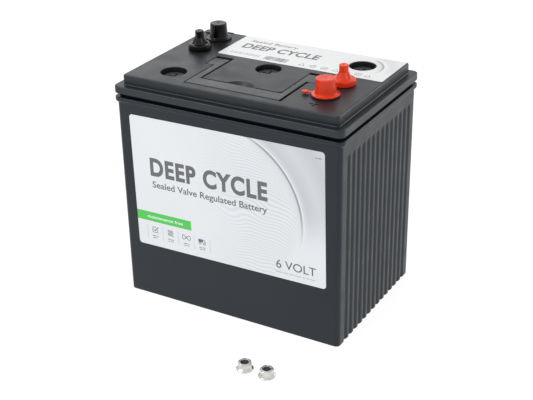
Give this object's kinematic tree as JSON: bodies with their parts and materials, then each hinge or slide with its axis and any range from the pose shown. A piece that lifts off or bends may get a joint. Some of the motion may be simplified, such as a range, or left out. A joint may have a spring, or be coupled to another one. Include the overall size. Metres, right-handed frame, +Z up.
{
  "type": "deep cycle battery",
  "caption": "Sealed deep cycle battery with a grooved black case, welded cover, folding carry handle, capped post and stud terminals, and loose flange nuts.",
  "frame": {"origin": "centre of the container base, which rests on the floor", "axes": "+Z up, +X along the length towards the positive terminal, the labelled front faces -Y"},
  "size_m": [0.26, 0.2604, 0.2688],
  "materials": {
    "case_plastic": "fine moulded grain, satin black polypropylene",
    "cover_plastic": "fine moulded grain, satin black polypropylene",
    "handle_plastic": "satin black polypropylene",
    "plug_plastic": "satin black polypropylene",
    "black_rubber": "soft black rubber",
    "terminal_lead": null,
    "cast_lead": null,
    "stud_steel": "stainless",
    "nut_steel": "stainless, lightly brushed",
    "red_cap": "soft red vinyl, semi-gloss",
    "black_cap": "soft black vinyl, semi-gloss",
    "positive_plate": null,
    "negative_plate": null,
    "glass_mat": "white absorbent glass mat",
    "front_label_film": "printed silver-white film",
    "top_label_film": "printed silver-white film"
  },
  "bodies": {
    "battery": {"container": "case_plastic", "cover": "cover_plastic", "front_label": "front_label_film", "intercell_weld_1": "cast_lead", "intercell_weld_2": "cast_lead", "negative_plates_1": "negative_plate", "negative_plates_2": "negative_plate", "negative_plates_3": "negative_plate", "negative_strap_1": "cast_lead", "negative_strap_2": "cast_lead", "negative_strap_3": "cast_lead", "negative_stud": "stud_steel", "negative_terminal": "terminal_lead", "negative_terminal_seal": "black_rubber", "positive_plates_1": "positive_plate", "positive_plates_2": "positive_plate", "positive_plates_3": "positive_plate", "positive_strap_1": "cast_lead", "positive_strap_2": "cast_lead", "positive_strap_3": "cast_lead", "positive_stud": "stud_steel", "positive_terminal": "terminal_lead", "positive_terminal_seal": "black_rubber", "separator_mats_1": "glass_mat", "separator_mats_2": "glass_mat", "separator_mats_3": "glass_mat", "top_label": "top_label_film", "vent_plug_1": "plug_plastic", "vent_plug_2": "plug_plastic", "vent_plug_3": "plug_plastic", "vent_seal_1": "black_rubber", "vent_seal_2": "black_rubber", "vent_seal_3": "black_rubber"},
    "handle": {"carry_handle": "handle_plastic"},
    "positive_post_cover": {"positive_post_cover": "red_cap"},
    "positive_stud_cover": {"positive_stud_cover": "red_cap"},
    "negative_post_cover": {"negative_post_cover": "black_cap"},
    "negative_stud_cover": {"negative_stud_cover": "black_cap"},
    "relief_valve_1": {"relief_valve_1": "black_rubber"},
    "relief_valve_2": {"relief_valve_2": "black_rubber"},
    "relief_valve_3": {"relief_valve_3": "black_rubber"},
    "terminal_nut_1": {"terminal_nut_1": "nut_steel"},
    "terminal_nut_2": {"terminal_nut_2": "nut_steel"}
  },
  "joints": [
    {"name": "handle_fold", "type": "hinge", "parent": "battery", "child": "handle", "pos_m": [0, 0.004, 0.2441], "axis": [-1, 0, 0], "range_deg": [0, 105]},
    {"name": "positive_post_cover_lift", "type": "slide", "parent": "battery", "child": "positive_post_cover", "axis": [0, 0, 1], "range_m": [0, 0.035]},
    {"name": "positive_stud_cover_lift", "type": "slide", "parent": "battery", "child": "positive_stud_cover", "axis": [0, 0, 1], "range_m": [0, 0.035]},
    {"name": "negative_post_cover_lift", "type": "slide", "parent": "battery", "child": "negative_post_cover", "axis": [0, 0, 1], "range_m": [0, 0.035]},
    {"name": "negative_stud_cover_lift", "type": "slide", "parent": "battery", "child": "negative_stud_cover", "axis": [0, 0, 1], "range_m": [0, 0.035]},
    {"name": "relief_valve_1_lift", "type": "slide", "parent": "battery", "child": "relief_valve_1", "axis": [0, 0, 1], "range_m": [0, 0.0006], "stiffness_N_per_m": 300, "springref_m": -0.0005},
    {"name": "relief_valve_2_lift", "type": "slide", "parent": "battery", "child": "relief_valve_2", "axis": [0, 0, 1], "range_m": [0, 0.0006], "stiffness_N_per_m": 300, "springref_m": -0.0005},
    {"name": "relief_valve_3_lift", "type": "slide", "parent": "battery", "child": "relief_valve_3", "axis": [0, 0, 1], "range_m": [0, 0.0006], "stiffness_N_per_m": 300, "springref_m": -0.0005},
    {"name": "terminal_nut_1_lift", "type": "slide", "parent": "battery", "child": "terminal_nut_1", "axis": [0, 0, 1], "range_m": [0, 0.05]},
    {"name": "terminal_nut_2_lift", "type": "slide", "parent": "battery", "child": "terminal_nut_2", "axis": [0, 0, 1], "range_m": [0, 0.05]}
  ]
}
